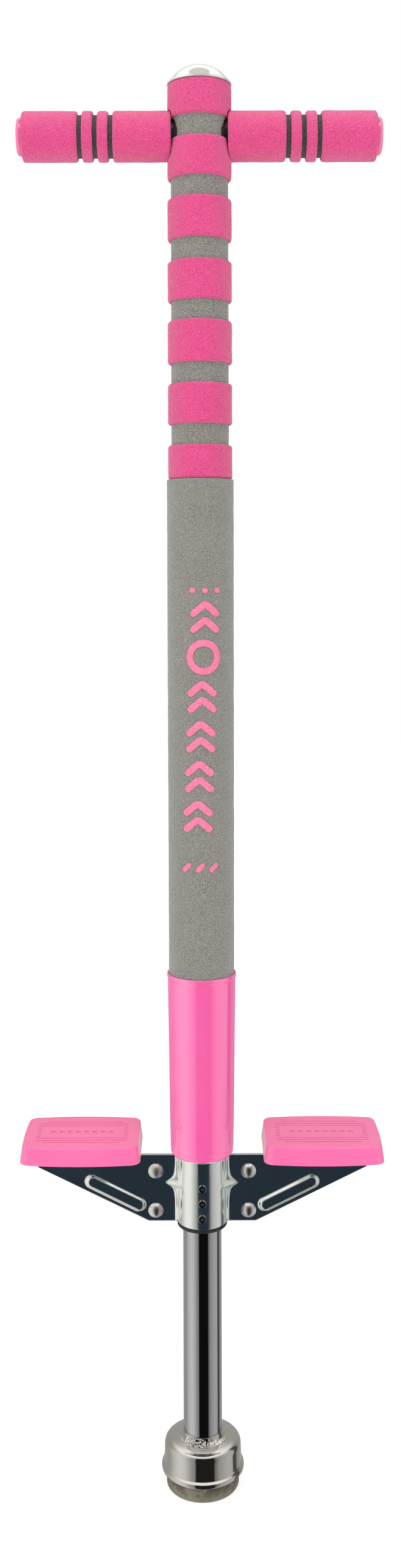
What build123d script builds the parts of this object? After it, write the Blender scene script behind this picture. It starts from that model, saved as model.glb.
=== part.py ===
from build123d import *
import os

# Spring pogo stick for a child, standing upright on its rubber foot.
# Millimetres. Z is height above the floor, X runs along the handlebar, -Y is the front.

os.makedirs("parts", exist_ok=True)

FIT = 0.05  # radial running clearance of the sliding and turning pieces
GAP = 0.3  # air between pieces of different moving bodies
EASE = 0.1  # air round soft and loose pieces

# Upright tube
TUBE_R = 15.0
TUBE_BORE_R = 14.0
TUBE_BOTTOM = 173.1
TUBE_TOP = 924.0

# Crossbar and grips
BAR_Z = 890.3
BAR_R = 11.1
BAR_BORE_R = 9.9
BAR_HALF = 116.9
WELD_REACH = 17.0
WELD_R = 12.6
WELD_FACE = 14.0
GRIP_CORE_R = 13.9
GRIP_BAND_R = 16.5
GRIP_START = 18.7
GRIP_BANDS = ((GRIP_START, 56.9), (60.1, 67.0), (70.2, 77.2), (80.3, BAR_HALF))
GRIP_EDGE_R = 1.5
END_CAP_R = 12.5
END_CAP_OUT = 4.2
END_CAP_RIM = 2.8
END_CAP_PLUG = 13.0
END_CAP_WALL = 1.6

# Foam on the upright
FOAM_BORE_R = 15.05
STEM_CORE_R = 18.95
STEM_BAND_R = 21.15
STEM_BANDS = ((900.6, TUBE_TOP), (860.7, 887.0), (820.5, 847.8), (780.1, 806.6), (739.2, 767.2),
              (699.2, 726.0), (663.2, 685.5))
STEM_EDGE_R = 1.6
BAR_NOTCH_R = 12.9
GRIP_CLEAR_R = GRIP_BAND_R + 0.2
SLEEVE_TOP = 663.2
SLEEVE_TOP_R = 22.05
SLEEVE_WAIST_R = 21.5
SLEEVE_PINCH = 0.9

# Tapered plastic guard over the foot of the foam
GUARD_BOTTOM = 218.7
GUARD_TOP = 337.6
GUARD_TOP_R = 22.75
GUARD_BOTTOM_R = 20.4
GUARD_EDGE_R = 2.0
GUARD_PROFILE = ((21.15, 246.0), (21.55, 281.0), (22.15, 323.0))  # radius, height
GUARD_WALL = 1.4
GUARD_FLOOR = 2.0
FOAM_SOCKET = 36.0

# Top cap
CAP_RIM_R = 21.3
CAP_RIM = 1.2
CAP_DOME_R = 20.2
CAP_TOP = 937.3
CAP_WALL = 1.5
CAP_SPIGOT = 18.0

# Pressed steel bracket, two halves that meet at Y = 0
SHEET = 1.2
BARREL_R = TUBE_R + SHEET
BARREL_FILLET = 3.0
SPUR_X = 16.8
SPUR_Z = 198.8
SPUR_R = 7.0
BRACKET_BOTTOM = TUBE_BOTTOM
BRACKET_TOP = 217.0
WING_END = 109.0
WING_END_BOTTOM = 209.0
WING_CORNER = 35.5
WEB_START = 44.0
SHELF_TOP = 227.6
SHELF_DEPTH = 23.0
RIB_R = 4.2
RIB_HEIGHT = 1.5
RIB_TAPER = 25.0
RIB_INNER = (41.7, 184.2)
RIB_OUTER = (72.4, 199.3)

# Fasteners
DOME_RIVET_X = 30.6
DOME_RIVET_Z = (180.1, 206.0)
DOME_RIVET_R = 5.0
DOME_RIVET_HEIGHT = 2.6
DOME_SHANK_R = 2.5
BLIND_RIVET_Z = (180.8, 190.5, 200.3)
BLIND_RIVET_R = 1.6
BLIND_HEAD_R = 2.8
BLIND_HEAD = 0.8
BLIND_BEVEL = 0.6
BLIND_HOLLOW_R = 1.2
PAD_SCREW_X = (58.0, 98.0)
PAD_SCREW_Y = 12.0
PAD_SCREW_R = 2.0
PAD_SCREW_HEAD_R = 3.8
PAD_SCREW_HEAD = 2.4
PAD_SCREW_BITE = 2.8
PAD_SCREW_TAPER = 20.0

# Footrests
PAD_INNER = 40.0
PAD_OUTER = 117.5
PAD_HALF_DEPTH = 27.0
PAD_BOW = 3.0
PAD_END_BOW = 1.0
PAD_BOTTOM = 220.5
PAD_TOP = 231.6
PAD_TAPER = 8.0
PAD_CORNER_R = 7.0
PAD_EDGE_R = 1.6
PAD_WALL = 3.2
GROOVE = 0.9
GROOVE_DEPTH = 0.6
LONG_GROOVE = 60.0
SHORT_GROOVE = 50.0
GROOVE_Y = (10.4, 14.1)
SHORT_GROOVE_Y = 17.8
TICK = 2.8
TICK_PITCH = 3.5
DIAMOND = 3.3
DIAMOND_PITCH = 5.5
DIAMONDS = 8
TICKS = 5

# Plunger
SHAFT_R = 12.7
SHAFT_BORE_R = 11.5
SHAFT_BOTTOM = 32.0
SHAFT_TOP = 345.0
CUP_R = 25.4
CUP_WALL = 1.5
CUP_LIP_R = 27.0
CUP_LIP_BOTTOM = 10.5
CUP_LIP_TOP = 13.0
CUP_SHOULDER_R = 5.5
FOOT_WELD_R = 16.6
FOOT_WELD_HEIGHT = 3.2
FOOT_WELD_HOLLOW_R = 5.0
TIP_R = 23.8
TIP_EDGE_R = 2.0
TIP_EASE = 0.5

# Guide, stops and spring inside the upright
BUSH_FLANGE_R = 16.4
BUSH_FLANGE = 2.1
BUSH_BEVEL = 0.6
BUSH_TOP = 212.0
BUMPER_TOP = 224.0
COLLAR_R = 13.7
COLLAR_HEIGHT = 10.0
SEAT_R = 13.7
SEAT_HEIGHT = 6.0
SEAT_SPIGOT = 20.0
COIL_R = 10.2
WIRE_R = 1.8
COIL_PITCH = 10.0
SPRING_LENGTH = 280.0
SPRING_SPIGOT_R = 8.0
SPRING_SPIGOT = 14.0
SPIGOT_WALL = 2.5
SPIGOT_LEAD = 1.0
STOP_HEIGHT = 22.0
STOP_PIN_R = 3.0

SIDES = (("left", -1), ("right", 1))
bar_axis = Axis((0, 0, BAR_Z), (1, 0, 0))


def bar_plane(side):
    """Local x runs outwards along the crossbar, local y is the distance from its axis."""
    return Plane(origin=(0, 0, BAR_Z), x_dir=(side, 0, 0), z_dir=(0, -side, 0))


# Upright: a plain tube, drilled across for the crossbar, the stop pin and the blind rivets
seat_top = SHAFT_TOP + GAP + SEAT_HEIGHT
spring_top = seat_top + SPRING_LENGTH
stop_pin_z = spring_top + STOP_HEIGHT / 2

with BuildPart() as outer_tube:
    with BuildSketch(Plane.XY.offset(TUBE_BOTTOM)):
        Circle(TUBE_R)
        Circle(TUBE_BORE_R, mode=Mode.SUBTRACT)
    extrude(amount=TUBE_TOP - TUBE_BOTTOM)
    with Locations((0, 0, BAR_Z)):
        Cylinder(BAR_R, 3 * TUBE_R, rotation=(0, 90, 0), mode=Mode.SUBTRACT)
    with Locations((0, 0, stop_pin_z)):
        Cylinder(STOP_PIN_R, 3 * TUBE_R, rotation=(0, 90, 0), mode=Mode.SUBTRACT)
    with Locations(*[(0, 0, z) for z in BLIND_RIVET_Z]):
        Cylinder(BLIND_RIVET_R, 3 * TUBE_R, rotation=(90, 0, 0), mode=Mode.SUBTRACT)
outer_tube.part.label = "outer_tube"
export_step(outer_tube.part, "parts/outer_tube.step")

# Crossbar
with BuildPart() as handlebar_tube:
    with BuildSketch(Plane.YZ.offset(-BAR_HALF)):
        with Locations((0, BAR_Z)):
            Circle(BAR_R)
            Circle(BAR_BORE_R, mode=Mode.SUBTRACT)
    extrude(amount=2 * BAR_HALF)
handlebar_tube.part.label = "handlebar_tube"
export_step(handlebar_tube.part, "parts/handlebar_tube.step")

# Weld beads in the saddle between crossbar and upright, one on each side
with BuildPart() as handlebar_weld:
    for side in (-1, 1):
        with BuildSketch(bar_plane(side)):
            with BuildLine():
                Polyline((TUBE_R / 2, BAR_R), (TUBE_R / 2, WELD_R), (WELD_FACE, WELD_R),
                         (WELD_REACH, BAR_R), close=True)
            make_face()
        revolve(axis=bar_axis)
    with Locations((0, 0, BAR_Z)):
        Cylinder(TUBE_R, 4 * BAR_R, mode=Mode.SUBTRACT)
handlebar_weld.part.label = "handlebar_weld"
export_step(handlebar_weld.part, "parts/handlebar_weld.step")

# Domed cap: a thin shell with a flat rim on the foam and a spigot in the tube
with BuildPart() as top_cap:
    with BuildSketch(Plane.XZ):
        with BuildLine():
            spring_line = TUBE_TOP + CAP_RIM
            spigot_bottom = TUBE_TOP - CAP_SPIGOT
            TangentArc((0, CAP_TOP), (CAP_DOME_R, spring_line), tangent=(1, 0))
            Polyline((CAP_DOME_R, spring_line), (CAP_RIM_R, spring_line), (CAP_RIM_R, TUBE_TOP),
                     (TUBE_BORE_R, TUBE_TOP), (TUBE_BORE_R, spigot_bottom),
                     (TUBE_BORE_R - CAP_WALL, spigot_bottom), (TUBE_BORE_R - CAP_WALL, spring_line),
                     (CAP_DOME_R - CAP_WALL, spring_line))
            TangentArc((0, CAP_TOP - CAP_WALL), (CAP_DOME_R - CAP_WALL, spring_line), tangent=(1, 0))
            Line((0, CAP_TOP - CAP_WALL), (0, CAP_TOP))
        make_face()
    revolve(axis=Axis.Z)
top_cap.part.label = "top_cap"
export_step(top_cap.part, "parts/top_cap.step")

# Plugs in the crossbar's ends, with a shallow dome outside
for name, side in SIDES:
    with BuildPart() as end_cap:
        with BuildSketch(bar_plane(side)):
            with BuildLine():
                crown = BAR_HALF + END_CAP_OUT
                shoulder = BAR_HALF + END_CAP_RIM
                plug_end = BAR_HALF - END_CAP_PLUG
                plug_bore_r = BAR_BORE_R - END_CAP_WALL
                TangentArc((crown, 0), (shoulder, END_CAP_R), tangent=(0, 1))
                Polyline((shoulder, END_CAP_R), (BAR_HALF, END_CAP_R), (BAR_HALF, BAR_BORE_R),
                         (plug_end, BAR_BORE_R), (plug_end, plug_bore_r), (BAR_HALF, plug_bore_r),
                         (BAR_HALF, 0), (crown, 0))
            make_face()
        revolve(axis=bar_axis)
    end_cap.part.label = f"{name}_end_cap"
    export_step(end_cap.part, f"parts/{name}_end_cap.step")

# Grips: a dark foam tube with four pink foam rings on it
for name, side in SIDES:
    with BuildPart() as grip_core:
        with BuildSketch(bar_plane(side)):
            with BuildLine():
                Polyline((GRIP_START, BAR_R), (GRIP_START, GRIP_CORE_R), (BAR_HALF, GRIP_CORE_R),
                         (BAR_HALF, BAR_R), close=True)
            make_face()
        revolve(axis=bar_axis)
    grip_core.part.label = f"{name}_grip_core"
    export_step(grip_core.part, f"parts/{name}_grip_core.step")

    with BuildPart() as grip_bands:
        for start, end in GRIP_BANDS:
            with BuildSketch(bar_plane(side)) as band:
                with BuildLine():
                    Polyline((start, GRIP_CORE_R), (start, GRIP_BAND_R), (end, GRIP_BAND_R),
                             (end, GRIP_CORE_R), close=True)
                make_face()
                fillet(band.vertices().group_by(Axis.Y)[-1], GRIP_EDGE_R)
            revolve(axis=bar_axis)
    grip_bands.part.label = f"{name}_grip_bands"
    export_step(grip_bands.part, f"parts/{name}_grip_bands.step")


# Foam on the upright, opened where the crossbar and the grips pass through it
def open_for_crossbar():
    """Cut the open part for the crossbar, and clear of the grips' inner ends."""
    with Locations((0, 0, BAR_Z)):
        Cylinder(BAR_NOTCH_R, 4 * STEM_BAND_R, rotation=(0, 90, 0), mode=Mode.SUBTRACT)
    for side in (-1, 1):
        with Locations((side * (GRIP_START - GAP + STEM_BAND_R), 0, BAR_Z)):
            Cylinder(GRIP_CLEAR_R, 2 * STEM_BAND_R, rotation=(0, 90, 0), mode=Mode.SUBTRACT)


with BuildPart() as stem_foam_core:
    with BuildSketch(Plane.XY.offset(SLEEVE_TOP)):
        Circle(STEM_CORE_R)
        Circle(FOAM_BORE_R, mode=Mode.SUBTRACT)
    extrude(amount=TUBE_TOP - SLEEVE_TOP)
    open_for_crossbar()
stem_foam_core.part.label = "stem_foam_core"
export_step(stem_foam_core.part, "parts/stem_foam_core.step")

with BuildPart() as stem_foam_bands:
    for bottom, top in STEM_BANDS:
        with BuildSketch(Plane.XZ) as band:
            with BuildLine():
                Polyline((STEM_CORE_R, bottom), (STEM_BAND_R, bottom), (STEM_BAND_R, top),
                         (STEM_CORE_R, top), close=True)
            make_face()
            fillet(band.vertices().group_by(Axis.X)[-1], STEM_EDGE_R)
        revolve(axis=Axis.Z)
    open_for_crossbar()
stem_foam_bands.part.label = "stem_foam_bands"
export_step(stem_foam_bands.part, "parts/stem_foam_bands.step")

# Large foam sleeve, pinched where it goes down into the guard
foam_waist_z = GUARD_TOP - FOAM_SOCKET / 2
foam_bottom = GUARD_TOP - FOAM_SOCKET
foam_pinched_r = SLEEVE_WAIST_R - SLEEVE_PINCH

with BuildPart() as main_foam_sleeve:
    with BuildSketch(Plane.XZ):
        with BuildLine():
            Polyline((FOAM_BORE_R, foam_bottom), (foam_pinched_r, foam_bottom),
                     (foam_pinched_r, foam_waist_z), (SLEEVE_WAIST_R, GUARD_TOP),
                     (SLEEVE_TOP_R, SLEEVE_TOP), (FOAM_BORE_R, SLEEVE_TOP), close=True)
        make_face()
    revolve(axis=Axis.Z)
main_foam_sleeve.part.label = "main_foam_sleeve"
export_step(main_foam_sleeve.part, "parts/main_foam_sleeve.step")

# Guard: a tapered shell with a rounded foot, closed to the tube at its lower end
with BuildPart() as lower_guard_sleeve:
    with BuildSketch(Plane.XZ):
        with BuildLine():
            inner_r = foam_pinched_r + EASE
            inner_bottom_r = GUARD_BOTTOM_R - GUARD_WALL
            edge_start = (GUARD_BOTTOM_R - GUARD_EDGE_R, GUARD_BOTTOM)
            edge_end = (GUARD_BOTTOM_R, GUARD_BOTTOM + GUARD_EDGE_R)
            Line((FOAM_BORE_R, GUARD_BOTTOM), edge_start)
            TangentArc(edge_start, edge_end, tangent=(1, 0))
            Polyline(edge_end, *GUARD_PROFILE, (GUARD_TOP_R, GUARD_TOP),
                     (SLEEVE_WAIST_R + EASE, GUARD_TOP), (inner_r, foam_waist_z),
                     (inner_r, foam_bottom - GAP), (inner_bottom_r, GUARD_BOTTOM + 3 * GUARD_FLOOR),
                     (inner_bottom_r - GUARD_EDGE_R / 2, GUARD_BOTTOM + GUARD_FLOOR),
                     (FOAM_BORE_R, GUARD_BOTTOM + GUARD_FLOOR), (FOAM_BORE_R, GUARD_BOTTOM))
        make_face()
    revolve(axis=Axis.Z)
lower_guard_sleeve.part.label = "lower_guard_sleeve"
export_step(lower_guard_sleeve.part, "parts/lower_guard_sleeve.step")

# Bracket halves: half a barrel with two flat wings and a shelf under each footrest
wing_outline = [(0, BRACKET_BOTTOM), (WING_CORNER, BRACKET_BOTTOM), (WING_END, WING_END_BOTTOM),
                (WING_END, BRACKET_TOP), (0, BRACKET_TOP)]

for name, facing in (("bracket_front", -1), ("bracket_rear", 1)):
    with BuildPart() as bracket:
        near = Align.MAX if facing < 0 else Align.MIN
        with BuildSketch(Plane.XY.offset(BRACKET_BOTTOM)) as section:
            Circle(BARREL_R)
            Rectangle(2 * WING_END, SHEET, align=(Align.CENTER, near))
            Rectangle(3 * WING_END, 2 * BARREL_R, align=(Align.CENTER, near), mode=Mode.INTERSECT)
            roots = [v for v in section.vertices() if abs(v.X) < BARREL_R and abs(v.Y) > SHEET / 2]
            fillet(roots, BARREL_FILLET)
        extrude(amount=BRACKET_TOP - BRACKET_BOTTOM)
        with Locations(*[(side * SPUR_X, 0, SPUR_Z) for side in (-1, 1)]):
            Sphere(SPUR_R)
            Sphere(SPUR_R - SHEET, mode=Mode.SUBTRACT)
        with Locations((0, 0, BRACKET_BOTTOM)):
            Box(3 * WING_END, 2 * BARREL_R, 3 * WING_END, align=(Align.CENTER, near, Align.CENTER),
                mode=Mode.INTERSECT)
            Cylinder(TUBE_R, 3 * WING_END, mode=Mode.SUBTRACT)
        with BuildSketch(Plane.XZ):
            for side in (-1, 1):
                with BuildLine():
                    Polyline(*[(side * x, z) for x, z in wing_outline], close=True)
                make_face()
        extrude(amount=2 * BARREL_R, both=True, mode=Mode.INTERSECT)
        for side in (-1, 1):
            web_length = WING_END - WEB_START
            with Locations((side * (WEB_START + web_length / 2), 0, BRACKET_TOP)):
                Box(web_length, SHEET, SHELF_TOP - BRACKET_TOP, align=(Align.CENTER, near, Align.MIN))
            with Locations((side * (WEB_START + web_length / 2), 0, SHELF_TOP)):
                Box(web_length, SHELF_DEPTH, SHEET, align=(Align.CENTER, near, Align.MAX))
            rib_middle = ((RIB_INNER[0] + RIB_OUTER[0]) / 2, (RIB_INNER[1] + RIB_OUTER[1]) / 2)
            rib = Vector(RIB_OUTER[0] - RIB_INNER[0], RIB_OUTER[1] - RIB_INNER[1])
            rib_tilt = rib.get_angle(Vector(1, 0)) * side
            wing_face = Plane(origin=(0, facing * SHEET, 0), x_dir=(1, 0, 0), z_dir=(0, -1, 0))
            with BuildSketch(wing_face):
                with Locations(Location((side * rib_middle[0], rib_middle[1]), rib_tilt)):
                    SlotCenterToCenter(rib.length, 2 * RIB_R)
            extrude(amount=-facing * RIB_HEIGHT, taper=RIB_TAPER)
            with BuildSketch(Plane.XZ):
                with Locations(Location((side * rib_middle[0], rib_middle[1]), rib_tilt)):
                    SlotCenterToCenter(rib.length, 2 * (RIB_R - SHEET))
            extrude(amount=-facing * RIB_HEIGHT, mode=Mode.SUBTRACT)
            with Locations(*[(side * DOME_RIVET_X, 0, z) for z in DOME_RIVET_Z]):
                Cylinder(DOME_SHANK_R, 6 * SHEET, rotation=(90, 0, 0), mode=Mode.SUBTRACT)
            with Locations(*[(side * x, facing * PAD_SCREW_Y, SHELF_TOP) for x in PAD_SCREW_X]):
                Cylinder(PAD_SCREW_R, 4 * SHEET, mode=Mode.SUBTRACT)
        with Locations(*[(0, 0, z) for z in BLIND_RIVET_Z]):
            Cylinder(BLIND_RIVET_R, 3 * TUBE_R, rotation=(90, 0, 0), mode=Mode.SUBTRACT)
    bracket.part.label = name
    export_step(bracket.part, f"parts/{name}.step")

# Four rivets with domed heads on both faces
with BuildPart() as bracket_rivets:
    for x in (-DOME_RIVET_X, DOME_RIVET_X):
        for z in DOME_RIVET_Z:
            with BuildSketch(Plane(origin=(x, 0, z), x_dir=(1, 0, 0), z_dir=(0, 0, 1))):
                with BuildLine():
                    crown = SHEET + DOME_RIVET_HEIGHT
                    Line((0, -crown), (0, crown))
                    TangentArc((0, crown), (DOME_RIVET_R, SHEET), tangent=(1, 0))
                    Polyline((DOME_RIVET_R, SHEET), (DOME_SHANK_R, SHEET), (DOME_SHANK_R, -SHEET),
                             (DOME_RIVET_R, -SHEET))
                    TangentArc((0, -crown), (DOME_RIVET_R, -SHEET), tangent=(1, 0))
                make_face()
            revolve(axis=Axis((x, 0, z), (0, 1, 0)))
bracket_rivets.part.label = "bracket_rivets"
export_step(bracket_rivets.part, "parts/bracket_rivets.step")

# Blind rivets: hollow heads outside, ends kept inside the bush's wall
with BuildPart() as bush_rivets:
    rivet_end = SHAFT_R + FIT + 2 * EASE
    rivet_face = BARREL_R + BLIND_HEAD
    for facing in (-1, 1):
        for z in BLIND_RIVET_Z:
            with BuildSketch(Plane(origin=(0, 0, z), x_dir=(1, 0, 0), z_dir=(0, 0, facing))):
                with BuildLine():
                    Polyline((0, rivet_end), (BLIND_RIVET_R, rivet_end), (BLIND_RIVET_R, BARREL_R),
                             (BLIND_HEAD_R, BARREL_R), (BLIND_HEAD_R - BLIND_BEVEL, rivet_face),
                             (BLIND_HOLLOW_R, rivet_face), (BLIND_HOLLOW_R, BARREL_R - BLIND_HEAD),
                             (0, BARREL_R - BLIND_HEAD), close=True)
                make_face()
            revolve(axis=Axis((0, 0, z), (0, 1, 0)))
bush_rivets.part.label = "bush_rivets"
export_step(bush_rivets.part, "parts/bush_rivets.step")

# Footrests: bowed and tapered shells over the bracket's shelves, with a grooved tread
pad_middle = (PAD_INNER + PAD_OUTER) / 2

for name, side in SIDES:
    with BuildPart() as foot_pad:
        with BuildSketch(Plane.XY.offset(PAD_BOTTOM)) as outline:
            with BuildLine():
                corners = [(side * x, side * y) for x, y in
                           ((PAD_INNER, -PAD_HALF_DEPTH), (PAD_OUTER, -PAD_HALF_DEPTH),
                            (PAD_OUTER, PAD_HALF_DEPTH), (PAD_INNER, PAD_HALF_DEPTH))]
                bow = side * (PAD_HALF_DEPTH + PAD_BOW)
                ThreePointArc(corners[0], (side * pad_middle, -bow), corners[1])
                ThreePointArc(corners[1], (side * (PAD_OUTER + PAD_END_BOW), 0), corners[2])
                ThreePointArc(corners[2], (side * pad_middle, bow), corners[3])
                Line(corners[3], corners[0])
            make_face()
            fillet(outline.vertices(), PAD_CORNER_R)
        extrude(amount=PAD_TOP - PAD_BOTTOM, taper=PAD_TAPER)
        fillet(foot_pad.faces().sort_by(Axis.Z)[-1].edges(), PAD_EDGE_R)
        pocket_length = PAD_OUTER - PAD_INNER - 2 * PAD_WALL
        with Locations((side * pad_middle, 0, PAD_BOTTOM)):
            Box(pocket_length, 2 * (SHELF_DEPTH + EASE), SHELF_TOP - PAD_BOTTOM,
                align=(Align.CENTER, Align.CENTER, Align.MIN), mode=Mode.SUBTRACT)
        screws = [(side * x, y) for x in PAD_SCREW_X for y in (-PAD_SCREW_Y, PAD_SCREW_Y)]
        with Locations(*[(x, y, SHELF_TOP) for x, y in screws]):
            Cylinder(PAD_SCREW_R, 2 * PAD_SCREW_BITE, mode=Mode.SUBTRACT)
        with BuildSketch(Plane.XY.offset(PAD_TOP)):
            for y in GROOVE_Y:
                with Locations((side * pad_middle, y), (side * pad_middle, -y)):
                    Rectangle(LONG_GROOVE, GROOVE)
            for y in (-SHORT_GROOVE_Y, SHORT_GROOVE_Y):
                with Locations((side * pad_middle, y)):
                    Rectangle(SHORT_GROOVE, GROOVE)
            with Locations((side * pad_middle, 0)):
                with GridLocations(LONG_GROOVE - TICK, TICK_PITCH, 2, TICKS):
                    Rectangle(TICK, GROOVE)
                with GridLocations(DIAMOND_PITCH, DIAMOND_PITCH, DIAMONDS, 1):
                    Rectangle(DIAMOND, DIAMOND, rotation=45)
        extrude(amount=-GROOVE_DEPTH, mode=Mode.SUBTRACT)
    foot_pad.part.label = f"{name}_foot_pad"
    export_step(foot_pad.part, f"parts/{name}_foot_pad.step")

    with BuildPart() as pad_screws:
        shelf_bottom = SHELF_TOP - SHEET
        with BuildSketch(Plane.XY.offset(shelf_bottom)):
            with Locations(*screws):
                Circle(PAD_SCREW_R)
        extrude(amount=SHEET + PAD_SCREW_BITE)
        with BuildSketch(Plane.XY.offset(shelf_bottom)):
            with Locations(*screws):
                Circle(PAD_SCREW_HEAD_R)
        extrude(amount=-PAD_SCREW_HEAD, taper=PAD_SCREW_TAPER)
    pad_screws.part.label = f"{name}_pad_screws"
    export_step(pad_screws.part, f"parts/{name}_pad_screws.step")

# Flanged guide bush in the upright's lower end
with BuildPart() as lower_bush:
    with BuildSketch(Plane.XZ):
        with BuildLine():
            bush_bore_r = SHAFT_R + FIT
            flange_bottom = TUBE_BOTTOM - BUSH_FLANGE
            Polyline((bush_bore_r, flange_bottom), (BUSH_FLANGE_R - BUSH_BEVEL, flange_bottom),
                     (BUSH_FLANGE_R, flange_bottom + BUSH_BEVEL), (BUSH_FLANGE_R, TUBE_BOTTOM),
                     (TUBE_BORE_R, TUBE_BOTTOM), (TUBE_BORE_R, BUSH_TOP), (bush_bore_r, BUSH_TOP),
                     close=True)
        make_face()
    revolve(axis=Axis.Z)
    with Locations(*[(0, facing * 2 * TUBE_R, z) for z in BLIND_RIVET_Z for facing in (-1, 1)]):
        Cylinder(BLIND_RIVET_R, 2 * (2 * TUBE_R - rivet_end), rotation=(90, 0, 0), mode=Mode.SUBTRACT)
lower_bush.part.label = "lower_bush"
export_step(lower_bush.part, "parts/lower_bush.step")

# Rubber ring above the bush: the plunger's collar comes down on it
with BuildPart() as rebound_bumper:
    with BuildSketch(Plane.XY.offset(BUSH_TOP)):
        Circle(TUBE_BORE_R - FIT)
        Circle(SHAFT_R + GAP, mode=Mode.SUBTRACT)
    extrude(amount=BUMPER_TOP - BUSH_TOP)
rebound_bumper.part.label = "rebound_bumper"
export_step(rebound_bumper.part, "parts/rebound_bumper.step")

# Plunger tube
with BuildPart() as plunger_shaft:
    with BuildSketch(Plane.XY.offset(SHAFT_BOTTOM)):
        Circle(SHAFT_R)
        Circle(SHAFT_BORE_R, mode=Mode.SUBTRACT)
    extrude(amount=SHAFT_TOP - SHAFT_BOTTOM)
plunger_shaft.part.label = "plunger_shaft"
export_step(plunger_shaft.part, "parts/plunger_shaft.step")

# Collar that keeps the plunger in the upright
with BuildPart() as stop_collar:
    with BuildSketch(Plane.XY.offset(BUMPER_TOP + GAP)):
        Circle(COLLAR_R)
        Circle(SHAFT_R, mode=Mode.SUBTRACT)
    extrude(amount=COLLAR_HEIGHT)
stop_collar.part.label = "stop_collar"
export_step(stop_collar.part, "parts/stop_collar.step")

# Foot cup: a pressed shell, open below, with a rolled lip
with BuildPart() as foot_cup:
    with BuildSketch(Plane.XZ):
        with BuildLine():
            cup_inner_r = CUP_R - CUP_WALL
            ceiling = SHAFT_BOTTOM - CUP_WALL
            inner_shoulder_r = CUP_SHOULDER_R - CUP_WALL
            lip_middle = (CUP_LIP_BOTTOM + CUP_LIP_TOP) / 2
            shoulder_in = (CUP_R - CUP_SHOULDER_R, SHAFT_BOTTOM)
            shoulder_out = (CUP_R, SHAFT_BOTTOM - CUP_SHOULDER_R)
            inner_in = (cup_inner_r - inner_shoulder_r, ceiling)
            inner_out = (cup_inner_r, ceiling - inner_shoulder_r)
            Line((0, SHAFT_BOTTOM), shoulder_in)
            TangentArc(shoulder_in, shoulder_out, tangent=(1, 0))
            Line(shoulder_out, (CUP_R, CUP_LIP_TOP))
            ThreePointArc((CUP_R, CUP_LIP_TOP), (CUP_LIP_R, lip_middle), (CUP_R, CUP_LIP_BOTTOM))
            Polyline((CUP_R, CUP_LIP_BOTTOM), (cup_inner_r, CUP_LIP_BOTTOM), inner_out)
            TangentArc(inner_in, inner_out, tangent=(1, 0))
            Polyline(inner_in, (0, ceiling), (0, SHAFT_BOTTOM))
        make_face()
    revolve(axis=Axis.Z)
foot_cup.part.label = "foot_cup"
export_step(foot_cup.part, "parts/foot_cup.step")

# Weld ring between cup and plunger tube
with BuildPart() as foot_weld:
    with BuildSketch(Plane.XZ):
        with BuildLine():
            weld_top = SHAFT_BOTTOM + FOOT_WELD_HEIGHT
            Polyline((FOOT_WELD_R, SHAFT_BOTTOM), (SHAFT_R, SHAFT_BOTTOM), (SHAFT_R, weld_top))
            RadiusArc((SHAFT_R, weld_top), (FOOT_WELD_R, SHAFT_BOTTOM), FOOT_WELD_HOLLOW_R)
        make_face()
    revolve(axis=Axis.Z)
foot_weld.part.label = "foot_weld"
export_step(foot_weld.part, "parts/foot_weld.step")

# Rubber foot, a solid plug that fills the cup
with BuildPart() as rubber_tip:
    with BuildSketch(Plane.XZ) as profile:
        with BuildLine():
            tip_top = ceiling - TIP_EASE
            Polyline((0, 0), (TIP_R, 0), (TIP_R, tip_top - inner_shoulder_r),
                     (TIP_R - inner_shoulder_r, tip_top), (0, tip_top), close=True)
        make_face()
        fillet(profile.vertices().group_by(Axis.Y)[0].sort_by(Axis.X)[-1], TIP_EDGE_R)
    revolve(axis=Axis.Z)
rubber_tip.part.label = "rubber_tip"
export_step(rubber_tip.part, "parts/rubber_tip.step")

# Spring seat: it rests on the plunger's end, with one spigot in the tube and one in the coils
with BuildPart() as spring_seat:
    with BuildSketch(Plane.XZ):
        with BuildLine():
            seat_bottom = SHAFT_TOP + GAP
            seat_bore_r = SPRING_SPIGOT_R - SPIGOT_WALL
            tube_spigot_r = SHAFT_BORE_R - FIT
            Polyline((seat_bore_r, seat_bottom - SEAT_SPIGOT), (tube_spigot_r, seat_bottom - SEAT_SPIGOT),
                     (tube_spigot_r, seat_bottom), (SEAT_R, seat_bottom), (SEAT_R, seat_top),
                     (SPRING_SPIGOT_R, seat_top), (SPRING_SPIGOT_R - SPIGOT_LEAD, seat_top + SPRING_SPIGOT),
                     (seat_bore_r, seat_top + SPRING_SPIGOT), close=True)
        make_face()
    revolve(axis=Axis.Z)
spring_seat.part.label = "spring_seat"
export_step(spring_seat.part, "parts/spring_seat.step")

# Main spring: round wire between the seat and the stop plug
with BuildPart() as main_spring:
    with BuildLine():
        coil = Helix(COIL_PITCH, SPRING_LENGTH - 2 * WIRE_R - 2 * GAP, COIL_R,
                     center=(0, 0, seat_top + WIRE_R + GAP))
    with BuildSketch(Plane(origin=coil @ 0, z_dir=coil % 0)):
        Circle(WIRE_R)
    sweep(path=coil, is_frenet=True)
main_spring.part.label = "main_spring"
export_step(main_spring.part, "parts/main_spring.step")

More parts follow.
